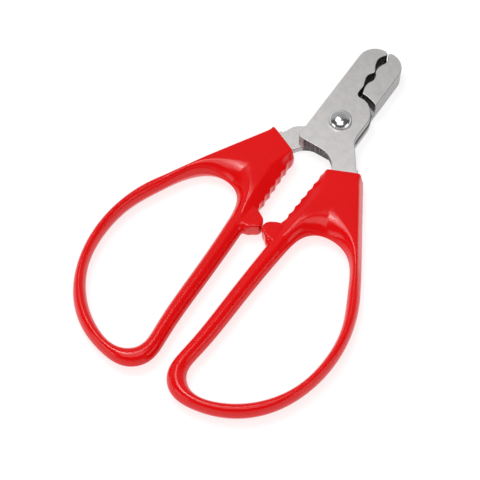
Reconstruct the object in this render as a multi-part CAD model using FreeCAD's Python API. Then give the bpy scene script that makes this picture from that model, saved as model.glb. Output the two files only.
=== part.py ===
import FreeCAD, Part
import math
import os

# Two-lever nail clipper with riveted plate jaws and moulded loop handles.
# Frame, in millimetres: +Y points to the tip of the jaws, +X is the right-hand handle's side, +Z is up.
# The origin lies under the middle of the closed clipper, on the surface that it rests on.

# ---- driving dimensions ----
LENGTH = 152.4             # tip of the jaws to the ends of the loops
TIP_AHEAD = 34.6           # pivot axis to the tip
PLATE = 2.5                # thickness of each stamped plate
SLIP_GAP = 0.05            # running gap between the levers at the pivot
STACK_BASE = 1.1           # underside of the lowest plate
HEEL_RADIUS = 14.15        # heel of the right jaw's upper plates, about the pivot
ANVIL_REACH = 3.2          # how far the rear plate's edge reaches under the left jaw
JAW_SIDE = 7.25            # outer side of the right jaw, from the middle line
HEEL_CORNER = (0.54, 14.11)

RIVET_RADIUS = 2.5
RIVET_FIT = 0.05           # radial running clearance in the rear plate
RIVET_HEAD_RADIUS = 4.15
RIVET_HEAD_HEIGHT = 2.8
RIVET_TAIL_RADIUS = 4.0

GRIP_HEIGHT = 9.8          # thickness of the handle at the grip
BAR_HEIGHT = 7.0           # thickness of the loop's bars
GRIP_END = -37.0           # from the pivot, where the grip starts to thin down
BAR_START = -55.0          # from the pivot, where the bars' thickness is reached
BAR_ROUNDING = 1.5         # edge radius of the bars
GRIP_ROUNDING = 0.9        # edge radius of the grip
EAR_HEIGHT = 6.3           # thickness of the stop ear on the inner bar
EAR_ROUNDING = 0.6
SCALLOPS = 6
SCALLOP_RADIUS = 2.6
SCALLOP_DEPTH = 0.6

# ---- worked out from them ----
PIVOT_Y = LENGTH / 2 - TIP_AHEAD
REAR_TOP = STACK_BASE + PLATE
FRONT_BASE = REAR_TOP + SLIP_GAP
FRONT_MIDDLE = FRONT_BASE + PLATE
FRONT_TOP = FRONT_MIDDLE + PLATE

# ---- outlines, as steps from point to point in the plan ----
# Each point is (distance to the right of the pivot, distance ahead of it). A step of one point
# is a straight edge, of two is an arc through the first one, and of more is one smooth curve.
LEFT_JAW = [
    [(-0.3, 12.6), (-0.85, 13.9)],
    [(-0.85, 15.4)],
    [(-0.85, 17.3), (-1.6, 19.6), (-1.9, 21.3), (-1.4, 22.9), (-0.6, 24.2), (-1.2, 25.8),
     (-2.15, 28.0), (-2.4, 29.6), (-2.0, 31.3), (-0.85, 32.9)],
    [(-0.8, 33.7)],
    [(-2.0, 34.35)],
    [(-2.25, 34.35)],
    [(-6.92, 32.42), (-8.85, 27.75)],
    [(-8.85, -12.5)],
    [(-8.55, -13.2), (-7.85, -13.5)],
]
FRONT_SHANK = [
    [(0.2, -13.6)],
    [(4.6, -14.85), (7.9, -18.1)],
    [(17.8, -33.1)],
    [(23.7, -28.8)],
    [(17.33, -16.2)],
    [(15.9, -14.02)],
    [(15.4, -14.35)],
    [(9.3, -5.5)],
    [(8.55, -3.6), (8.35, -1.6)],
    [(8.4, 4.6)],
    [(7.75, 7.6), (5.7, 10.3)],
    [(3.3, 11.9), (1.3, 12.2)],
]
BACKING_SIDE = [
    [(6.25, -13.5)],
    [(6.95, -13.2), (JAW_SIDE, -12.5)],
    [(JAW_SIDE, 9.9)],
    [(4.4, 11.45), (1.3, 12.2)],
]
REAR_SIDE = [
    [(7.35, -11.9)],
    [(8.05, -11.6), (8.35, -10.9)],
    [(8.35, 4.6)],
    [(8.1, 7.1), (JAW_SIDE, 9.6)],
]
RIGHT_EDGE = [
    (0.05, 15.8), (-0.25, 17.7), (0.1, 19.6), (0.75, 21.3), (0.7, 22.5), (0.25, 23.7), (-0.38, 24.7),
    (-0.6, 25.9), (-0.45, 27.3), (0.2, 29.0), (0.72, 30.7), (0.4, 32.1), (-0.5, 33.8)]
REAR_SHANK = [
    [(-2.1, 11.6)],
    [(-6.0, 10.15), (-8.3, 7.6)],
    [(-8.3, -4.4)],
    [(-11.0, -6.1)],
    [(-13.5, -8.0), (-15.0, -10.9)],
    [(-15.95, -12.45)],
    [(-16.45, -12.1)],
    [(-17.45, -14.3)],
    [(-17.6, -16.5)],
    [(-24.2, -28.6)],
    [(-18.4, -31.2)],
    [(-8.0, -15.3)],
    [(-5.2, -12.85), (-1.5, -11.9)],
]


def point(x, ahead):
    """A point in the plan, from the middle line and the pivot axis."""
    return FreeCAD.Vector(x, PIVOT_Y + ahead, 0)


GRIP_LOW = point(4.7, -44.6)       # ends of the scalloped edge of the grip
GRIP_HIGH = point(5.7, -22.4)


def edge_between(here, corners):
    """The next edge of an outline: a line, an arc or a smooth curve."""
    if len(corners) == 1:
        return Part.LineSegment(here, corners[0]).toShape()
    if len(corners) == 2:
        return Part.Arc(here, corners[0], corners[1]).toShape()
    curve = Part.BSplineCurve()
    curve.interpolate([here] + corners)
    return curve.toShape()


def prism(edges, base, height):
    face = Part.Face(Part.Wire(edges))
    face.translate(FreeCAD.Vector(0, 0, base))
    return face.extrude(FreeCAD.Vector(0, 0, height))


def plate(steps, base):
    """A stamped plate whose outline follows the steps and ends where it started."""
    here = point(*steps[-1][-1])
    edges = []
    for step in steps:
        corners = [point(x, ahead) for x, ahead in step]
        edges.append(edge_between(here, corners))
        here = corners[-1]
    return prism(edges, base, PLATE)


def mirrored(shape):
    return shape.mirror(FreeCAD.Vector(0, 0, 0), FreeCAD.Vector(1, 0, 0))


def pivot_hole(radius, base, height):
    centre = point(0, 0) + FreeCAD.Vector(0, 0, base)
    return Part.makeCylinder(radius, height, centre)


def front_blank():
    """The front plate before its rivet hole: left jaw, pivot area and right-hand shank."""
    return plate(FRONT_SHANK + LEFT_JAW, FRONT_MIDDLE)


def front_plate():
    return front_blank().cut(pivot_hole(RIVET_RADIUS, FRONT_MIDDLE, PLATE))


def front_backing_plate():
    """Doubles the left jaw and the pivot area under the front plate."""
    blank = plate(BACKING_SIDE + LEFT_JAW, FRONT_BASE)
    return blank.cut(pivot_hole(RIVET_RADIUS, FRONT_BASE, PLATE))


def right_jaw_nose():
    """Right jaw's outer side, from its straight part round to the tip."""
    return [[(JAW_SIDE, 28.0)], [(5.32, 32.67), (0.65, TIP_AHEAD)]]


def rear_blank():
    """The rear plate before its rivet hole: right jaw, pivot area and left-hand shank.

    Its edge reaches under the left jaw, as the anvil that a claw is cut against.
    """
    reaching = [(x - ANVIL_REACH, ahead) for x, ahead in reversed(RIGHT_EDGE)]
    steps = REAR_SIDE + right_jaw_nose()
    steps += [[(-2.3, 34.0)], [reaching[0]], reaching[1:]] + REAR_SHANK
    return plate(steps, STACK_BASE)


def rear_plate():
    return rear_blank().cut(pivot_hole(RIVET_RADIUS + RIVET_FIT, STACK_BASE, PLATE))


def jaw_plate(base):
    """A plate that builds the right jaw up to the left jaw's level; its heel is round the pivot."""
    heel_turn = (math.atan2(HEEL_CORNER[1], HEEL_CORNER[0]) + math.acos(JAW_SIDE / HEEL_RADIUS)) / 2
    heel_middle = (HEEL_RADIUS * math.cos(heel_turn), HEEL_RADIUS * math.sin(heel_turn))
    heel_end = (JAW_SIDE, math.sqrt(HEEL_RADIUS ** 2 - JAW_SIDE ** 2))
    steps = right_jaw_nose() + [[(0.1, 34.5)], [RIGHT_EDGE[-1]], RIGHT_EDGE[-2::-1], [HEEL_CORNER]]
    steps += [[heel_middle, heel_end]]
    return plate(steps, base)


def pivot_rivet():
    """Domed rivet: head on the front plate, shank through the levers, flat tail under them."""
    sphere_radius = (RIVET_HEAD_RADIUS ** 2 + RIVET_HEAD_HEIGHT ** 2) / (2 * RIVET_HEAD_HEIGHT)
    top = FRONT_TOP + RIVET_HEAD_HEIGHT
    ball = Part.makeSphere(sphere_radius, point(0, 0) + FreeCAD.Vector(0, 0, top - sphere_radius))
    dome = ball.common(pivot_hole(RIVET_HEAD_RADIUS, FRONT_TOP, RIVET_HEAD_HEIGHT))
    shank = pivot_hole(RIVET_RADIUS, 0, FRONT_TOP)
    tail = pivot_hole(RIVET_TAIL_RADIUS, 0, STACK_BASE - SLIP_GAP)
    return dome.fuse([shank, tail]).removeSplitter()


def closed_curve(corners):
    """One smooth closed curve through plan points given from the middle line and the pivot."""
    curve = Part.BSplineCurve()
    curve.interpolate(Points=[point(x, ahead) for x, ahead in corners], PeriodicFlag=True)
    return [curve.toShape()]


def finger_hole():
    """Outline of the opening for the fingers in the right-hand handle."""
    return closed_curve([
        (20.8, -40.7), (30.4, -43.8), (36.6, -54.0), (42.0, -66.5), (43.5, -80.0), (40.6, -94.0),
        (33.0, -104.8), (23.0, -111.4), (14.2, -112.7), (9.3, -108.9), (8.9, -101.0), (10.2, -77.0),
        (11.5, -53.5), (14.1, -43.8)])


def loop_outline():
    """Outer outline of the right-hand loop, which closes inside the grip."""
    return closed_curve([
        (40.0, -51.4), (45.1, -63.0), (47.3, -77.0), (44.8, -93.5), (38.2, -105.8), (29.0, -113.5),
        (18.5, -117.2), (8.6, -116.8), (3.6, -111.6), (3.2, -102.0), (4.2, -77.0), (5.0, -52.0),
        (8.5, -38.0), (20.0, -33.0), (31.5, -38.5)])


def grip_outline():
    """Outline of the scalloped grip in front of the right-hand loop."""
    corners = [GRIP_LOW, GRIP_HIGH, point(5.75, -20.8), point(6.2, -19.85), point(7.1, -19.35),
               point(17.0, -14.9), point(18.1, -14.75), point(18.95, -15.3), point(19.45, -16.15),
               point(39.0, -49.45), point(36.0, -56.0), point(8.0, -56.0)]
    return Part.makePolygon(corners + corners[:1]).Edges


def with_round_rims(plate, rounding):
    return plate.makeFillet(rounding, [edge for edge in plate.Edges if edge.BoundBox.ZLength < 0.01])


def grip_profile():
    """Side view of the grip, which thins down towards the loop's bars."""
    thin = (GRIP_HEIGHT - BAR_HEIGHT) / 2
    corners = [(0, 0), (GRIP_END, 0), (BAR_START, thin), (BAR_START, GRIP_HEIGHT - thin),
               (GRIP_END, GRIP_HEIGHT), (0, GRIP_HEIGHT)]
    points = [FreeCAD.Vector(-LENGTH / 2, PIVOT_Y + ahead, z) for ahead, z in corners]
    face = Part.Face(Part.makePolygon(points + points[:1]))
    return face.extrude(FreeCAD.Vector(LENGTH, 0, 0))


def stop_ear():
    """The rounded ear on the inner bar that meets its twin when the handles are closed."""
    outline = closed_curve([
        (4.75, -44.9), (2.7, -46.5), (0.85, -47.8), (0.2, -49.6), (0.75, -51.3), (2.7, -52.6),
        (5.0, -54.8), (7.2, -54.0), (8.0, -49.6), (7.2, -45.4)])
    return with_round_rims(prism(outline, (GRIP_HEIGHT - EAR_HEIGHT) / 2, EAR_HEIGHT), EAR_ROUNDING)


def scallops():
    """Round grooves for the finger pads, cut into the inner edge of the grip."""
    run = GRIP_HIGH - GRIP_LOW
    out = FreeCAD.Vector(-run.y, run.x, 0).normalize()
    grooves = []
    for index in range(SCALLOPS):
        middle = GRIP_LOW + run * ((index + 0.5) / SCALLOPS)
        centre = middle + out * (SCALLOP_RADIUS - SCALLOP_DEPTH) - FreeCAD.Vector(0, 0, 1)
        grooves.append(Part.makeCylinder(SCALLOP_RADIUS, GRIP_HEIGHT + 2, centre))
    return grooves


def handle():
    """The right-hand handle: a moulded loop with a scalloped grip and a stop ear."""
    bars_base = (GRIP_HEIGHT - BAR_HEIGHT) / 2
    bars = prism(loop_outline(), bars_base, BAR_HEIGHT).cut(prism(finger_hole(), bars_base, BAR_HEIGHT))
    grip = with_round_rims(prism(grip_outline(), 0, GRIP_HEIGHT), GRIP_ROUNDING)
    grip = grip.common(grip_profile()).cut(prism(finger_hole(), 0, GRIP_HEIGHT))
    body = with_round_rims(bars, BAR_ROUNDING).fuse([grip, stop_ear()])
    return body.cut(scallops())


def right_handle():
    return handle().cut(front_blank())


def left_handle():
    return mirrored(handle()).cut(rear_blank())


def write(name, shape):
    shape.exportStep("parts/" + name + ".step")
    print(name, shape.isValid(), len(shape.Solids), round(shape.Volume, 1))


os.makedirs("parts", exist_ok=True)
write("front_plate", front_plate())
write("front_backing_plate", front_backing_plate())
write("rear_plate", rear_plate())
write("rear_jaw_middle_plate", jaw_plate(REAR_TOP))
write("rear_jaw_top_plate", jaw_plate(REAR_TOP + PLATE))
write("pivot_rivet", pivot_rivet())
write("right_handle", right_handle())
write("left_handle", left_handle())
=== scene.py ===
import math

import bmesh
import bpy
import numpy as np
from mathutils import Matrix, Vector, geometry


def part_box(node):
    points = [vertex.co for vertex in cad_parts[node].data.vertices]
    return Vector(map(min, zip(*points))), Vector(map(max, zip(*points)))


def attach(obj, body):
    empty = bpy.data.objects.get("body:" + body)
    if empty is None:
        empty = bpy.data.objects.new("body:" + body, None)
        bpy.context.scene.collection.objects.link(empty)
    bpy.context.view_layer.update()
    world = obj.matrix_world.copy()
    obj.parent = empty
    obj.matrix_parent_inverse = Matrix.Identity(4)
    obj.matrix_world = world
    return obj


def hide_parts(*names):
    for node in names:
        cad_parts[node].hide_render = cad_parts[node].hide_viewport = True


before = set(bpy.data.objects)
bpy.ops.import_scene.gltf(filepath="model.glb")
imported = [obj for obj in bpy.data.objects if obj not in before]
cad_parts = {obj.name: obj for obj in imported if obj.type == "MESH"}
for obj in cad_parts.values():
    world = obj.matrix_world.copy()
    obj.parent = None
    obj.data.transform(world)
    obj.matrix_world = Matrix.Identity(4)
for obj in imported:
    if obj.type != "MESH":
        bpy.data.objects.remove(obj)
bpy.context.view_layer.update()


# ---------------------------------------------------------------------------
# The table and the light. The clipper lies on a plain white sweep, under large
# soft boxes overhead and in front, with two low ones for the rivet's glints.
# ---------------------------------------------------------------------------
MM = 0.001
scene = bpy.context.scene
scene.view_settings.view_transform = "Standard"


def linked(name, data):
    thing = bpy.data.objects.new(name, data)
    scene.collection.objects.link(thing)
    return thing


def principled(name):
    """A new material: its nodes, its links and its Principled shader."""
    material = bpy.data.materials.new(name)
    material.use_nodes = True
    nodes = material.node_tree.nodes
    return material, nodes, material.node_tree.links, nodes["Principled BSDF"]


def noise_on(nodes, links, vector, scale, detail, roughness=0.5):
    noise = nodes.new("ShaderNodeTexNoise")
    noise.inputs["Scale"].default_value = scale
    noise.inputs["Detail"].default_value = detail
    noise.inputs["Roughness"].default_value = roughness
    links.new(vector, noise.inputs["Vector"])
    return noise.outputs["Fac"]


def ramp_on(nodes, links, value, stops):
    """A colour ramp on a value; stops are (position, colour or grey)."""
    ramp = nodes.new("ShaderNodeValToRGB")
    elements = ramp.color_ramp.elements
    while len(elements) < len(stops):
        elements.new(0.5)
    for element, (position, shade) in zip(elements, stops):
        element.position = position
        element.color = (*shade, 1) if hasattr(shade, "__len__") else (shade, shade, shade, 1)
    links.new(value, ramp.inputs["Fac"])
    return ramp.outputs["Color"]


TABLE_SIZE = 3.0
TABLE_SHADE = (0.36, 0.36, 0.36)
TABLE_GLOW = 0.74                   # the sweep is lit from behind, so no shadow darkens it
TABLE_CLEARANCE = 0.05 * MM

table_mesh = bpy.data.meshes.new("table_sweep")
reach = TABLE_SIZE / 2
table_mesh.from_pydata([(-reach, -reach, 0), (reach, -reach, 0), (reach, reach, 0), (-reach, reach, 0)],
                       [], [(0, 1, 2, 3)])
table = linked("table_sweep", table_mesh)
table.location.z = -TABLE_CLEARANCE
card, nodes, links, shader = principled("white_card")
shader.inputs["Base Color"].default_value = (*TABLE_SHADE, 1)
shader.inputs["Roughness"].default_value = 0.9
shader.inputs["Specular IOR Level"].default_value = 0.1
shader.inputs["Emission Color"].default_value = (1, 1, 1, 1)
shader.inputs["Emission Strength"].default_value = TABLE_GLOW
table_mesh.materials.append(card)

# The room: a pale wall behind the table, and darkness in front of it.
ROOM_FRONT = (0.55, -0.83, 0.0)     # level direction from the table to the dark side
WALL_STARTS, WALL_FULL = -0.14, -0.40
WALL_SHADES = [(0.0, 0.45), (0.4, 0.45), (0.7, 0.36), (0.9, 0.30)]      # (height, brightness)
DARK_SHADES = [(0.0, 0.85), (0.1, 0.6), (0.22, 0.10), (1.0, 0.10)]
world = bpy.data.worlds.new("studio")
scene.world = world
world.use_nodes = True
nodes, links = world.node_tree.nodes, world.node_tree.links
toward = nodes.new("ShaderNodeTexCoord").outputs["Generated"]
level = nodes.new("ShaderNodeVectorMath")
level.operation = "DOT_PRODUCT"
level.inputs[1].default_value = ROOM_FRONT
links.new(toward, level.inputs[0])
height = nodes.new("ShaderNodeSeparateXYZ")
links.new(toward, height.inputs["Vector"])
behind = nodes.new("ShaderNodeMapRange")
behind.interpolation_type = "SMOOTHSTEP"
behind.inputs["From Min"].default_value = WALL_STARTS
behind.inputs["From Max"].default_value = WALL_FULL
links.new(level.outputs["Value"], behind.inputs["Value"])
wall_side = ramp_on(nodes, links, height.outputs["Z"], WALL_SHADES)
dark_side = ramp_on(nodes, links, height.outputs["Z"], DARK_SHADES)
room = nodes.new("ShaderNodeMix")
room.data_type = "RGBA"
links.new(behind.outputs["Result"], room.inputs["Factor"])
links.new(dark_side, room.inputs["A"])
links.new(wall_side, room.inputs["B"])
links.new(room.outputs["Result"], nodes["Background"].inputs["Color"])


def soft_box(name, direction, distance, width, depth, radiance):
    """A lit rectangle that faces the clipper, with the brightness that its glass shows."""
    lamp = bpy.data.lights.new(name, "AREA")
    lamp.shape = "RECTANGLE"
    lamp.size, lamp.size_y = width, depth
    lamp.energy = radiance * math.pi * width * depth
    box = linked(name, lamp)
    box.location = Vector(direction).normalized() * distance
    box.rotation_euler = (-box.location).to_track_quat("-Z", "Y").to_euler()
    return box


soft_box("overhead_box", (-0.27, 0.02, 0.96), 0.8, 0.42, 0.38, 4.2)
soft_box("overhead_tube", (-0.27, 0.02, 0.96), 0.78, 0.12, 0.10, 16.0)
soft_box("front_box", (0.20, -0.32, 0.92), 0.95, 0.80, 0.62, 1.9)
soft_box("left_box", (-0.446, -0.895, 0.27), 0.9, 0.50, 0.30, 1.8)
soft_box("right_box", (0.998, 0.06, 0.27), 0.9, 0.50, 0.30, 1.5)

lens = bpy.data.cameras.new("studio_camera")
camera = linked("studio_camera", lens)
lens.sensor_width = 36
lens.lens = 119.1
LOOK_AT = Vector((-5.4, -13.65, 0)) * MM
camera.location = Vector((141.6, -235.8, 470.9)) * MM
camera.rotation_euler = (LOOK_AT - camera.location).to_track_quat("-Z", "Y").to_euler()
lens.clip_start = 0.01
scene.camera = camera


# ---------------------------------------------------------------------------
# The five plates, punched from 2.5 mm steel strip and satin ground on the flats
# and the long sides; the other walls are sheared, and painted near-black as shade.
# Two of them make the front lever, and three stack up to the rear lever's jaw.
# Painted shadow lines mark the seams between plates, and painted shade darkens the edge breaks.
# ---------------------------------------------------------------------------
EDGE_BREAK = 0.2 * MM
STEEL_PALE = (0.76, 0.74, 0.735)
STEEL_MOTTLE = (0.66, 0.64, 0.63)
# The sheared walls' striations are real; their near-black colour is painted shade.
SHEAR_SHADED_DARK = (0.035, 0.033, 0.035)
SHEAR_SHADED_LIGHT = (0.24, 0.23, 0.23)
GROUND_SIDE = (0.50, 0.49, 0.49)
GRIND_SCALE, MOTTLE_SCALE, SHEAR_SCALE = 5200, 420, 1700
GRIND_DEPTH = 0.02 * MM
SHEAR_ROUGH, GRIND_ROUGH = 0.55, (0.36, 0.50)
# Painted shadow: dark lines on the ground sides where the stacked plates meet, for the shade in the
# gaps between them.
SEAM_SHADOW_DARK = (0.05, 0.05, 0.05)
EDGE_SHADE_KEPT = 0.3            # how much of its brightness the edge break keeps under its painted shade
SEAM_SHADOW_HALF = 0.13            # half of a seam's painted shadow line, as a share of a plate's thickness
SIDES_FROM = 6.3 * MM       # from the middle line; walls farther out are ground, the rest are punched and painted dark as shade


def merged_copy(node_name, name):
    """A copy of a CAD node with its loose triangles joined and its flats made whole."""
    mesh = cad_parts[node_name].data.copy()
    mesh.name = name
    body = bmesh.new()
    body.from_mesh(mesh)
    bmesh.ops.remove_doubles(body, verts=body.verts, dist=1e-6)
    bmesh.ops.dissolve_limit(body, angle_limit=math.radians(0.5), verts=body.verts, edges=body.edges)
    body.normal_update()
    body.to_mesh(mesh)
    body.free()
    mesh.materials.clear()
    return mesh


def add_bevel(piece, width):
    bevel = piece.modifiers.new("edge_break", "BEVEL")
    bevel.width = width
    bevel.segments = 3
    bevel.limit_method = "ANGLE"
    bevel.angle_limit = math.radians(35)
    bevel.use_clamp_overlap = True
    bevel.harden_normals = False
    weighted = piece.modifiers.new("even_shading", "WEIGHTED_NORMAL")
    weighted.keep_sharp = False


def steel_material(name, no_recess_shade):
    """Satin steel, with sheared walls that are striated and dull and painted near-black as shade; a
    plate that is set back is ground on its left side only, and its right wall is painted dark as the
    shadow in its recess.
    """
    material, nodes, links, shader = principled(name)
    coords = nodes.new("ShaderNodeTexCoord")
    place = coords.outputs["Object"]
    stretch = nodes.new("ShaderNodeMapping")
    stretch.inputs["Scale"].default_value = (1.0, 0.06, 1.0)
    links.new(place, stretch.inputs["Vector"])
    grind = noise_on(nodes, links, stretch.outputs["Vector"], GRIND_SCALE, 3)
    mottle = noise_on(nodes, links, place, MOTTLE_SCALE, 4, 0.6)
    flats = ramp_on(nodes, links, mottle, [(0.3, STEEL_MOTTLE), (0.7, STEEL_PALE)])

    upright = nodes.new("ShaderNodeMapping")
    upright.inputs["Scale"].default_value = (1.0, 1.0, 0.12)
    links.new(place, upright.inputs["Vector"])
    shear = noise_on(nodes, links, upright.outputs["Vector"], SHEAR_SCALE, 4)
    # Painted shade: the sheared walls' striated colour is kept near-black.
    walls = ramp_on(nodes, links, shear, [(0.35, SHEAR_SHADED_DARK), (0.72, SHEAR_SHADED_LIGHT)])

    across = nodes.new("ShaderNodeSeparateXYZ")
    links.new(place, across.inputs["Vector"])
    # On the recess-shaded plate only the left wall takes the ground colour; its right wall keeps the
    # dark wall colour as painted recess shadow.
    outward = nodes.new("ShaderNodeMath")
    outward.operation = "ABSOLUTE" if no_recess_shade else "MULTIPLY"
    outward.inputs[1].default_value = -1
    links.new(across.outputs["X"], outward.inputs[0])
    is_side = nodes.new("ShaderNodeMapRange")
    is_side.inputs["From Min"].default_value = SIDES_FROM
    is_side.inputs["From Max"].default_value = SIDES_FROM + 0.5 * MM
    links.new(outward.outputs[0], is_side.inputs["Value"])
    side = nodes.new("ShaderNodeMix")
    side.data_type = "RGBA"
    sheet = nodes.new("ShaderNodeMapRange")
    sheet.clamp = False
    sheet.inputs["From Min"].default_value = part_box("rear_plate")[0].z
    sheet.inputs["From Max"].default_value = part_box("rear_plate")[1].z
    links.new(across.outputs["Z"], sheet.inputs["Value"])
    # Painted seam shadow: darkest at each plate's top and bottom on the ground sides.
    to_seam = nodes.new("ShaderNodeMath")
    to_seam.operation = "PINGPONG"
    to_seam.inputs[1].default_value = 0.5
    links.new(sheet.outputs["Result"], to_seam.inputs[0])
    seam_shadowed = ramp_on(nodes, links, to_seam.outputs[0], [(0.02, SEAM_SHADOW_DARK), (SEAM_SHADOW_HALF, GROUND_SIDE)])
    links.new(seam_shadowed, side.inputs["B"])
    links.new(is_side.outputs["Result"], side.inputs["Factor"])
    links.new(walls, side.inputs["A"])

    split = nodes.new("ShaderNodeSeparateXYZ")
    links.new(coords.outputs["Normal"], split.inputs["Vector"])
    up = nodes.new("ShaderNodeMath")
    up.operation = "ABSOLUTE"
    links.new(split.outputs["Z"], up.inputs[0])
    is_flat = ramp_on(nodes, links, up.outputs[0], [(0.15, 0.0), (0.55, 1.0)])
    colour = nodes.new("ShaderNodeMix")
    colour.data_type = "RGBA"
    links.new(is_flat, colour.inputs["Factor"])
    links.new(side.outputs["Result"], colour.inputs["A"])
    links.new(flats, colour.inputs["B"])
    # Painted shade: the sloped faces of the edge break are darkened.
    edge_shade = ramp_on(nodes, links, up.outputs[0],
                   [(0.2, 1.0), (0.45, EDGE_SHADE_KEPT), (0.7, EDGE_SHADE_KEPT), (0.95, 1.0)])
    edged = nodes.new("ShaderNodeMix")
    edged.data_type = "RGBA"
    edged.blend_type = "MULTIPLY"
    edged.inputs["Factor"].default_value = 1
    links.new(colour.outputs["Result"], edged.inputs["A"])
    links.new(edge_shade, edged.inputs["B"])
    links.new(edged.outputs["Result"], shader.inputs["Base Color"])
    rough = nodes.new("ShaderNodeMix")
    links.new(is_flat, rough.inputs["Factor"])
    rough.inputs["A"].default_value = SHEAR_ROUGH
    grind_rough = nodes.new("ShaderNodeMapRange")
    grind_rough.inputs["To Min"].default_value = GRIND_ROUGH[0]
    grind_rough.inputs["To Max"].default_value = GRIND_ROUGH[1]
    links.new(grind, grind_rough.inputs["Value"])
    links.new(grind_rough.outputs["Result"], rough.inputs["B"])
    links.new(rough.outputs["Result"], shader.inputs["Roughness"])
    bump = nodes.new("ShaderNodeBump")
    bump.inputs["Strength"].default_value = 0.35
    bump.inputs["Distance"].default_value = GRIND_DEPTH
    links.new(grind, bump.inputs["Height"])
    links.new(bump.outputs["Normal"], shader.inputs["Normal"])
    shader.inputs["Metallic"].default_value = 1.0
    return material


satin_steel = steel_material("satin_steel", True)
recess_shaded_steel = steel_material("recess_shaded_steel", False)
PLATES = [("rear_plate", "rear_lever"), ("rear_jaw_middle_plate", "rear_lever"),
          ("rear_jaw_top_plate", "rear_lever"), ("front_backing_plate", "front_lever"),
          ("front_plate", "front_lever")]
for node_name, lever in PLATES:
    plate = linked("ground_" + node_name, merged_copy(node_name, "ground_" + node_name))
    # The backing plate gets the steel whose right wall is painted dark as the shadow in its recess.
    plate.data.materials.append(recess_shaded_steel if node_name == "front_backing_plate" else satin_steel)
    for face in plate.data.polygons:
        face.use_smooth = True
        face.material_index = 0
    add_bevel(plate, EDGE_BREAK)
    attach(plate, lever)
    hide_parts(node_name)


# ---------------------------------------------------------------------------
# The rivet. A domed, polished and plated steel rivet holds the two levers; it
# is turned from one bar, and its tail is pressed flat under the rear plate.
# Its profile is one curve, which a lathe turns about the pivot's axis.
# ---------------------------------------------------------------------------
RIVET_SIDES = 96
RIVET_RINGS = 160
HEAD_LIFT = 0.2 * MM        # the shadow gap under the head's rim

rivet_low, rivet_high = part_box("pivot_rivet")
PIVOT = Vector(((rivet_low.x + rivet_high.x) / 2, (rivet_low.y + rivet_high.y) / 2, 0))
plate_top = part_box("front_plate")[1].z
plate_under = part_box("rear_plate")[0].z
head_radius = (rivet_high.x - rivet_low.x) / 2
head_height = rivet_high.z - plate_top
shank_radius = 2.45 * MM
tail_radius = head_radius - 0.15 * MM
tail_gap = 0.05 * MM
rim_round = 0.35 * MM
DOME_STEPS, TAIL_STEPS = 40, 8
DOME_WIDTH_POWER, DOME_HEIGHT_POWER = 0.97, 1.15    # 1 and 1 would be part of an ellipse


def rivet_profile():
    """Half of the rivet's section, from the top of its head to the middle of its tail."""
    points = []
    for step in range(DOME_STEPS):
        turn = math.radians(90 * step / DOME_STEPS)
        radius = head_radius * math.sin(turn) ** DOME_WIDTH_POWER
        height = plate_top + head_height * math.cos(turn) ** DOME_HEIGHT_POWER
        points.append((radius, height + (plate_top + head_height - height) / head_height * HEAD_LIFT))
    points.append((head_radius, plate_top + HEAD_LIFT))
    points.append((head_radius - 1.4 * HEAD_LIFT, plate_top + 0.5 * HEAD_LIFT))
    points.append((head_radius - 2.2 * HEAD_LIFT, plate_top))
    points.append((shank_radius, plate_top))
    points.append((shank_radius, plate_under - tail_gap))
    points.append((tail_radius - rim_round, plate_under - tail_gap))
    for step in range(TAIL_STEPS + 1):
        turn = math.radians(90 - 180 * step / TAIL_STEPS)
        points.append((tail_radius - rim_round + rim_round * math.cos(turn),
                       rivet_low.z + rim_round + rim_round * math.sin(turn)))
    points.append((0, rivet_low.z))
    return points


def lathe_tree():
    """Turns the profile curve that it is given about the pivot's axis, and closes it."""
    tree = bpy.data.node_groups.new("lathe", "GeometryNodeTree")
    face = tree.interface
    face.new_socket("Profile", in_out="INPUT", socket_type="NodeSocketGeometry")
    sides = face.new_socket("Sides", in_out="INPUT", socket_type="NodeSocketInt")
    rings = face.new_socket("Rings", in_out="INPUT", socket_type="NodeSocketInt")
    finish = face.new_socket("Finish", in_out="INPUT", socket_type="NodeSocketMaterial")
    face.new_socket("Turned", in_out="OUTPUT", socket_type="NodeSocketGeometry")
    new, join = tree.nodes.new, tree.links.new
    given, result = new("NodeGroupInput"), new("NodeGroupOutput")
    grid = new("GeometryNodeMeshGrid")
    grid.inputs["Size X"].default_value = 1
    grid.inputs["Size Y"].default_value = 1
    join(given.outputs["Rings"], grid.inputs["Vertices X"])
    join(given.outputs["Sides"], grid.inputs["Vertices Y"])
    where = new("GeometryNodeInputPosition")
    split = new("ShaderNodeSeparateXYZ")
    join(where.outputs[0], split.inputs[0])
    along = new("ShaderNodeMath")
    along.operation = "ADD"
    along.inputs[1].default_value = 0.5
    join(split.outputs["X"], along.inputs[0])
    turn = new("ShaderNodeMath")
    turn.operation = "MULTIPLY"
    turn.inputs[1].default_value = 2 * math.pi
    join(split.outputs["Y"], turn.inputs[0])
    sample = new("GeometryNodeSampleCurve")
    join(given.outputs["Profile"], sample.inputs["Curves"])
    join(along.outputs[0], sample.inputs["Factor"])
    spin = new("ShaderNodeVectorRotate")
    spin.rotation_type = "Z_AXIS"
    join(sample.outputs["Position"], spin.inputs["Vector"])
    join(turn.outputs[0], spin.inputs["Angle"])
    place = new("GeometryNodeSetPosition")
    join(grid.outputs["Mesh"], place.inputs["Geometry"])
    join(spin.outputs[0], place.inputs["Position"])
    merge = new("GeometryNodeMergeByDistance")
    merge.inputs["Distance"].default_value = 1e-6
    join(place.outputs[0], merge.inputs["Geometry"])
    real = new("GeometryNodeRealizeInstances")
    join(merge.outputs[0], real.inputs[0])
    coat = new("GeometryNodeSetMaterial")
    join(real.outputs[0], coat.inputs["Geometry"])
    join(given.outputs["Finish"], coat.inputs["Material"])
    join(coat.outputs[0], result.inputs[0])
    return tree, sides.identifier, rings.identifier, finish.identifier


POLISH_ROUGH = (0.13, 0.21)
CHROME_DULL, CHROME_BRIGHT = (0.74, 0.74, 0.75), (0.86, 0.86, 0.87)


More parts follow.
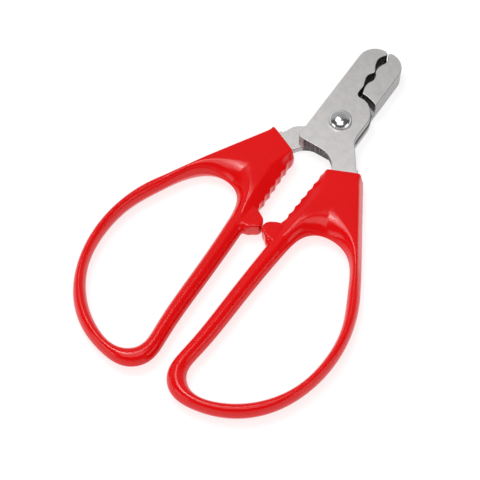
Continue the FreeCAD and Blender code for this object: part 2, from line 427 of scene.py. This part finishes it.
def chrome_material():
    material, nodes, links, shader = principled("polished_chrome")
    coords = nodes.new("ShaderNodeTexCoord")
    smear = noise_on(nodes, links, coords.outputs["Object"], 900, 4)
    rough = nodes.new("ShaderNodeMapRange")
    rough.inputs["To Min"].default_value = POLISH_ROUGH[0]
    rough.inputs["To Max"].default_value = POLISH_ROUGH[1]
    links.new(smear, rough.inputs["Value"])
    links.new(rough.outputs["Result"], shader.inputs["Roughness"])
    tint = ramp_on(nodes, links, smear, [(0.3, CHROME_DULL), (0.7, CHROME_BRIGHT)])
    links.new(tint, shader.inputs["Base Color"])
    hairline = noise_on(nodes, links, coords.outputs["Object"], 4200, 2)
    bump = nodes.new("ShaderNodeBump")
    bump.inputs["Strength"].default_value = 0.12
    bump.inputs["Distance"].default_value = 0.01 * MM
    links.new(hairline, bump.inputs["Height"])
    links.new(bump.outputs["Normal"], shader.inputs["Normal"])
    shader.inputs["Metallic"].default_value = 1.0
    return material


def as_mesh(maker, name):
    """A plain mesh object from what a maker object's modifiers give."""
    graph = bpy.context.evaluated_depsgraph_get()
    mesh = bpy.data.meshes.new_from_object(maker.evaluated_get(graph))
    mesh.name = name
    bpy.data.objects.remove(maker)
    body = bmesh.new()
    body.from_mesh(mesh)
    bmesh.ops.remove_doubles(body, verts=body.verts, dist=1e-7)
    bmesh.ops.recalc_face_normals(body, faces=body.faces)
    body.to_mesh(mesh)
    body.free()
    return linked(name, mesh)


profile = bpy.data.curves.new("rivet_profile", "CURVE")
profile.dimensions = "3D"
spline = profile.splines.new("POLY")
section = rivet_profile()
spline.points.add(len(section) - 1)
for point, (radius, height) in zip(spline.points, section):
    point.co = (radius, 0, height, 1)
maker = linked("rivet_profile", profile)
lathe, sides_id, rings_id, finish_id = lathe_tree()
turning = maker.modifiers.new("lathe", "NODES")
turning.node_group = lathe
turning[sides_id] = RIVET_SIDES
turning[rings_id] = RIVET_RINGS
turning[finish_id] = chrome_material()
rivet = as_mesh(maker, "domed_rivet")
for vertex in rivet.data.vertices:
    vertex.co += PIVOT
for face in rivet.data.polygons:
    face.use_smooth = True
rivet.data.set_sharp_from_angle(angle=math.radians(50))
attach(rivet, "front_lever")
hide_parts("pivot_rivet")


# ---------------------------------------------------------------------------
# The two handles. Each is one solid moulding in glossy red plastic, round the
# tang of its lever: a flat-topped grip with finger grooves down its inner side,
# a soft roll into the finger hole, oval bars round the loop, and a stop ear.
# ---------------------------------------------------------------------------
MIDDLE = 4.9            # the moulds part at this height; sizes here are in millimetres
SECTION_HEIGHT = 3.3    # where the outline is taken; the walls are upright there
GRIP_HALF = 4.9
BAR_HALF = 3.5
PARTING_LAND = 0.12
THIN_FROM, THIN_TO = -37.0, -55.0
OUTER_BAR_FROM = 22.0   # what is farther from the middle line belongs to the outer bar
OUTER_BAR_STARTS, OUTER_BAR_RUN = -42.0, 18.0       # where the grip turns into the bars, and over
INNER_BAR_STARTS, INNER_BAR_RUN = -47.0, 9.0        # what length
ROLL_WIDTH = 10.0
ROLL_SHAPE, BAR_SHAPE, EDGE_SHAPE = 1.23, 1.03, 1.0001     # how full the round edges are
SIDE_DRAFT, FRONT_DRAFT = 1.6, 0.5      # how far the walls lean in, from the parting line to the top
WALL_ROUND, FACET_ROUND, GROOVE_ROUND = 0.8, 0.35, 0.3
# The inner side of the grip is a tilted facet, from the grooved edge up to a ridge.
FACET_FOOT = 2.0
FOOT_LINE = [(-44.6, 4.7), (-22.4, 5.7)]                    # (ahead, aside)
RIDGE_LINE = [(-45.0, 8.6), (-33.0, 9.6), (-29.4, 10.0), (-27.5, 9.4), (-24.7, 8.4), (-22.5, 7.7),
              (-20.3, 7.1)]
RIDGE_FROM, RIDGE_TO = -46.0, -22.0
RIDGE_ROWS = [-0.55, -0.25, 0.0, 0.25, 0.55]
EAR_HALF, EAR_ROUND, EAR_BLEND = 3.1, 0.7, 0.4
FRONT_FROM, FRONT_CORNER = -20.8, 18.6
GROOVED_TO, GROOVED_WITHIN = -21.0, 6.9
EAR_AHEAD, EAR_REACH, EAR_FADE = -49.6, 5.8, 2.6
EAR_ACROSS, EAR_ACROSS_FADE = 8.4, 2.6
OUTLINE_STEP = 0.33
GRID_STEP = 0.45
RIM_STEPS = [0.012, 0.05, 0.11, 0.2, 0.32, 0.48, 0.68, 0.92, 1.2, 1.42, 1.6, 1.8, 2.05,
             2.35, 2.65, 2.95]
CREST_GAP = 0.12
EVEN_PASSES, SOFTER_PASSES, CHANGE_PASSES = 2, 40, 24
BARS_OF_OUTLINE, BARS_OF_HOLE = (-43, -56.5), (-20, -20)   # where the bars start, outside and within



def section_loops(node_name, height):
    """Outlines of a CAD node's section at a height, in mm from the pivot, longest first."""
    body = bmesh.new()
    body.from_mesh(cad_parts[node_name].data)
    bmesh.ops.remove_doubles(body, verts=body.verts, dist=1e-6)
    cut = bmesh.ops.bisect_plane(body, geom=body.verts[:] + body.edges[:] + body.faces[:],
                                 plane_co=(0, 0, height), plane_no=(0, 0, 1))
    edges = [e for e in cut["geom_cut"] if isinstance(e, bmesh.types.BMEdge)]
    beside = {}
    for edge in edges:
        a, b = edge.verts
        beside.setdefault(a, []).append(b)
        beside.setdefault(b, []).append(a)
    loops, seen = [], set()
    for start in beside:
        if start in seen:
            continue
        loop, here = [], start
        while here is not None:
            seen.add(here)
            loop.append(((here.co.x - PIVOT.x) / MM, (here.co.y - PIVOT.y) / MM))
            here = next((v for v in beside[here] if v not in seen), None)
        loops.append(np.array(loop))
    body.free()
    return sorted(loops, key=lambda loop: -np.ptp(loop, axis=0).sum())


def ease(value):
    value = np.clip(value, 0, 1)
    return value * value * (3 - 2 * value)


def evened(loop, step, bars_from):
    """The loop with even steps, softened a little, and more on the bars, anticlockwise."""
    closed = np.vstack([loop, loop[:1]])
    run = np.concatenate([[0], np.cumsum(np.linalg.norm(np.diff(closed, axis=0), axis=1))])
    count = int(run[-1] / step)
    marks = np.linspace(0, run[-1], count, endpoint=False)
    even = np.stack([np.interp(marks, run, closed[:, axis]) for axis in (0, 1)], axis=1)
    for _ in range(EVEN_PASSES):
        even = even / 2 + (np.roll(even, 1, axis=0) + np.roll(even, -1, axis=0)) / 4
    outside, within = bars_from
    bars = np.where(even[:, 0] > OUTER_BAR_FROM, ease((outside - even[:, 1]) / 6),
                    ease((within - even[:, 1]) / 5))
    for _ in range(SOFTER_PASSES):
        middle = (np.roll(even, 1, axis=0) + np.roll(even, -1, axis=0)) / 2
        even = even + (middle - even) * bars[:, None] / 2
    after = np.roll(even, -1, axis=0)
    if (even[:, 0] * after[:, 1] - after[:, 0] * even[:, 1]).sum() < 0:
        even = even[::-1]
    return even


def normals_left(loop):
    """Unit vectors to the left of an anticlockwise loop, which is inwards."""
    along = np.roll(loop, -1, axis=0) - np.roll(loop, 1, axis=0)
    left = np.stack([-along[:, 1], along[:, 0]], axis=1)
    return left / np.linalg.norm(left, axis=1, keepdims=True)


def nearest(points, loop):
    """Distance from each point to a closed loop, and the number of the nearest step."""
    a, b = loop, np.roll(loop, -1, axis=0)
    run = b - a
    length = (run ** 2).sum(axis=1)
    found, which = [], []
    for part in np.array_split(points, max(1, len(points) // 1500)):
        offset = part[:, None] - a[None]
        share = np.clip((offset * run).sum(axis=2) / length, 0, 1)
        gap = ((offset - share[..., None] * run) ** 2).sum(axis=2)
        best = gap.argmin(axis=1)
        found.append(np.sqrt(gap[np.arange(len(part)), best]))
        which.append(best)
    return np.concatenate(found), np.concatenate(which)


def inside(points, loop):
    a, b = loop, np.roll(loop, -1, axis=0)
    held = []
    for part in np.array_split(points, max(1, len(points) // 3000)):
        x, y = part[:, :1], part[:, 1:]
        crosses = (a[:, 1] > y) != (b[:, 1] > y)
        rise = np.where(b[:, 1] == a[:, 1], 1e-12, b[:, 1] - a[:, 1])
        at = a[:, 0] + (y - a[:, 1]) / rise * (b[:, 0] - a[:, 0])
        held.append((crosses & (x < at)).sum(axis=1) % 2 == 1)
    return np.concatenate(held)


def rounding(share, shape):
    """Height of a round edge, 0 to 1, at a share of its width; shape 1 is a quarter circle."""
    share = np.clip(share, 0, 1)
    foot = np.sqrt(shape ** 2 - 1)
    return (np.sqrt(np.maximum(shape ** 2 - (1 - share) ** 2, 0)) - foot) / (shape - foot)


def mixed(a, b, share):
    return a + (b - a) * share


def kept_down(excess, softness):
    """The excess where it is above 0, softened at its foot."""
    return (excess + np.sqrt(excess ** 2 + softness ** 2)) / 2


def facet_drop(points, top):
    """How far the tilted inner facet lies below the flat top."""
    x, ahead = points.T
    foot = np.interp(ahead, *zip(*FOOT_LINE))
    ridge = np.interp(ahead, *zip(*RIDGE_LINE))
    return kept_down((top - FACET_FOOT) * (ridge - x) / (ridge - foot), FACET_ROUND)


def half_height(points, outer, hole, draft, grooved):
    """Height of the moulding above its parting plane, at points in the plan."""
    to_hole, _ = nearest(points, hole)
    to_edge, step = nearest(points, outer)
    draft, grooved = draft[step], grooved[step]
    x, ahead = points.T
    top = mixed(GRIP_HALF, BAR_HALF, ease((THIN_FROM - ahead) / (THIN_FROM - THIN_TO)))
    full = top - PARTING_LAND
    as_bar = np.where(x > OUTER_BAR_FROM, ease((OUTER_BAR_STARTS - ahead) / OUTER_BAR_RUN),
                      ease((INNER_BAR_STARTS - ahead) / INNER_BAR_RUN))
    half_width = (to_hole + to_edge) / 2
    roll = np.minimum(ROLL_WIDTH, half_width)
    roll_shape = mixed(ROLL_SHAPE, BAR_SHAPE, as_bar)
    hole_drop = full * (1 - rounding(to_hole / roll, roll_shape))
    wall_drop = kept_down(full * (1 - to_edge / draft), WALL_ROUND) * (1 - grooved)
    bar_drop = full * (1 - rounding(to_edge / half_width, BAR_SHAPE))
    edge_drop = mixed(wall_drop, bar_drop, as_bar)
    facet = facet_drop(points, top) * (1 - as_bar) * (x < OUTER_BAR_FROM)
    drop = (hole_drop ** 3 + edge_drop ** 3 + facet ** 3) ** (1 / 3)
    drop += grooved * (1 - as_bar) * GROOVE_ROUND * (1 - rounding(to_edge / GROOVE_ROUND, EDGE_SHAPE))
    body = np.maximum(top - drop, PARTING_LAND)
    share = ease((EAR_REACH - np.abs(ahead - EAR_AHEAD)) / EAR_FADE)
    share *= ease((EAR_ACROSS - x) / EAR_ACROSS_FADE)
    ear = share * (EAR_HALF - EAR_ROUND * (1 - rounding(to_edge / EAR_ROUND, EDGE_SHAPE)))
    return ear + kept_down(body - ear, EAR_BLEND * share)


def handle_plan():
    """Outline loops and inner points of the right-hand handle's plan, and its heights."""
    outer, hole = section_loops("right_handle", SECTION_HEIGHT * MM)[:2]
    outer = evened(outer, OUTLINE_STEP, BARS_OF_OUTLINE)
    hole = evened(hole, OUTLINE_STEP, BARS_OF_HOLE)
    front = (outer[:, 1] > FRONT_FROM) & (outer[:, 0] < FRONT_CORNER)
    grooved = ((outer[:, 0] < GROOVED_WITHIN) & (outer[:, 1] <= GROOVED_TO)).astype(float)
    draft = np.where(front, FRONT_DRAFT, SIDE_DRAFT)
    for _ in range(CHANGE_PASSES):
        draft = draft / 2 + (np.roll(draft, 1) + np.roll(draft, -1)) / 4
        grooved = grooved / 2 + (np.roll(grooved, 1) + np.roll(grooved, -1)) / 4
    rows = [outer, hole]
    for gap in RIM_STEPS:
        for loop, other, side in ((outer, hole, 1), (hole, outer, -1)):
            ring = loop + side * gap * normals_left(loop)
            clear = (nearest(ring, loop)[0] > gap * 0.93) & (nearest(ring, other)[0] > gap + CREST_GAP)
            rows.append(ring[clear & inside(ring, outer) & ~inside(ring, hole)])
    ridge_ahead = np.arange(RIDGE_FROM, RIDGE_TO, OUTLINE_STEP)
    ridge = np.stack([np.interp(ridge_ahead, *zip(*RIDGE_LINE)), ridge_ahead], axis=1)
    for aside in RIDGE_ROWS:
        row = ridge + np.array((aside, 0))
        rows.append(row[(nearest(row, outer)[0] > RIM_STEPS[-1] + 0.15) & inside(row, outer)])
    low, high = outer.min(axis=0), outer.max(axis=0)
    across = np.arange(low[0], high[0], GRID_STEP)
    along = np.arange(low[1], high[1], GRID_STEP * math.sqrt(3) / 2)
    grid = np.array([(x + (row % 2) * GRID_STEP / 2, y) for row, y in enumerate(along) for x in across])
    grid = grid[inside(grid, outer) & ~inside(grid, hole)]
    clear_of_rims = RIM_STEPS[-1] + 0.2
    grid = grid[(nearest(grid, outer)[0] > clear_of_rims) & (nearest(grid, hole)[0] > clear_of_rims)]
    beside_ridge = np.abs(grid[:, 0] - np.interp(grid[:, 1], *zip(*RIDGE_LINE)))
    past_ridge = (grid[:, 1] < RIDGE_FROM) | (grid[:, 1] > RIDGE_TO)
    grid = grid[(beside_ridge > RIDGE_ROWS[-1] + 0.2) | past_ridge]
    rows.append(grid)
    plan = np.vstack(rows)
    return outer, hole, plan, half_height(plan, outer, hole, draft, grooved)


def handle_mesh(name):
    outer, hole, plan, height = handle_plan()
    rims = [(0, len(outer)), (len(outer), len(hole))]
    fixed = [(first + i, first + (i + 1) % count) for first, count in rims for i in range(count)]
    points, _, faces, origin, _, _ = geometry.delaunay_2d_cdt(
        [Vector(p) for p in plan], fixed, [], 0, 1e-6)
    source = [ids[0] for ids in origin]
    plan, height = plan[source], height[source]
    middles = np.array([np.mean([plan[i] for i in face], axis=0) for face in faces])
    kept = inside(middles, outer) & ~inside(middles, hole)
    faces = [face for face, keep in zip(faces, kept) if keep]
    place = {old: new for new, old in enumerate(source)}
    count = len(plan)
    ahead, aside = PIVOT.y / MM, PIVOT.x / MM
    top = [(x + aside, y + ahead, MIDDLE + h) for (x, y), h in zip(plan, height)]
    bottom = [(x, y, 2 * MIDDLE - z) for x, y, z in top]
    sheets = [tuple(face) for face in faces]
    sheets += [tuple(i + count for i in reversed(face)) for face in faces]
    walls = []
    for a, b in fixed:
        a, b = place[a], place[b]
        walls.append((a, a + count, b + count, b))
    mesh = bpy.data.meshes.new(name)
    mesh.from_pydata([Vector(p) * MM for p in top + bottom], [], sheets + walls)
    body = bmesh.new()
    body.from_mesh(mesh)
    bmesh.ops.delete(body, geom=[v for v in body.verts if not v.link_faces], context="VERTS")
    bmesh.ops.recalc_face_normals(body, faces=body.faces)
    for face in body.faces:
        face.smooth = True
    body.to_mesh(mesh)
    body.free()
    return mesh


def mirrored_mesh(mesh, name):
    """The same moulding for the other hand."""
    other = mesh.copy()
    other.name = name
    body = bmesh.new()
    body.from_mesh(other)
    for vertex in body.verts:
        vertex.co.x = 2 * PIVOT.x - vertex.co.x
    bmesh.ops.recalc_face_normals(body, faces=body.faces)
    body.to_mesh(other)
    body.free()
    return other


RED_DEEP, RED_LIGHT = (0.80, 0.0015, 0.002), (0.86, 0.002, 0.003)
GLOSS_ROUGH = (0.15, 0.22)


def plastic_material():
    material, nodes, links, shader = principled("gloss_red_plastic")
    coords = nodes.new("ShaderNodeTexCoord")
    place = coords.outputs["Object"]
    cloud = noise_on(nodes, links, place, 60, 3)
    tint = ramp_on(nodes, links, cloud, [(0.3, RED_DEEP), (0.7, RED_LIGHT)])
    links.new(tint, shader.inputs["Base Color"])
    wear = noise_on(nodes, links, place, 350, 5, 0.65)
    rough = nodes.new("ShaderNodeMapRange")
    rough.inputs["To Min"].default_value = GLOSS_ROUGH[0]
    rough.inputs["To Max"].default_value = GLOSS_ROUGH[1]
    links.new(wear, rough.inputs["Value"])
    links.new(rough.outputs["Result"], shader.inputs["Roughness"])
    grain = noise_on(nodes, links, place, 420, 2)
    bump = nodes.new("ShaderNodeBump")
    bump.inputs["Strength"].default_value = 0.12
    bump.inputs["Distance"].default_value = 0.02 * MM
    links.new(grain, bump.inputs["Height"])
    links.new(bump.outputs["Normal"], shader.inputs["Normal"])
    shader.inputs["IOR"].default_value = 1.5
    shader.inputs["Specular IOR Level"].default_value = 0.36
    return material


gloss_red = plastic_material()
right_mesh = handle_mesh("right_grip_moulding")
left_mesh = mirrored_mesh(right_mesh, "left_grip_moulding")
HANDLES = [(right_mesh, "right_handle", "front_lever"), (left_mesh, "left_handle", "rear_lever")]
for mesh, node_name, lever in HANDLES:
    mesh.materials.append(gloss_red)
    moulding = linked(mesh.name, mesh)
    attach(moulding, lever)
    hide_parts(node_name)
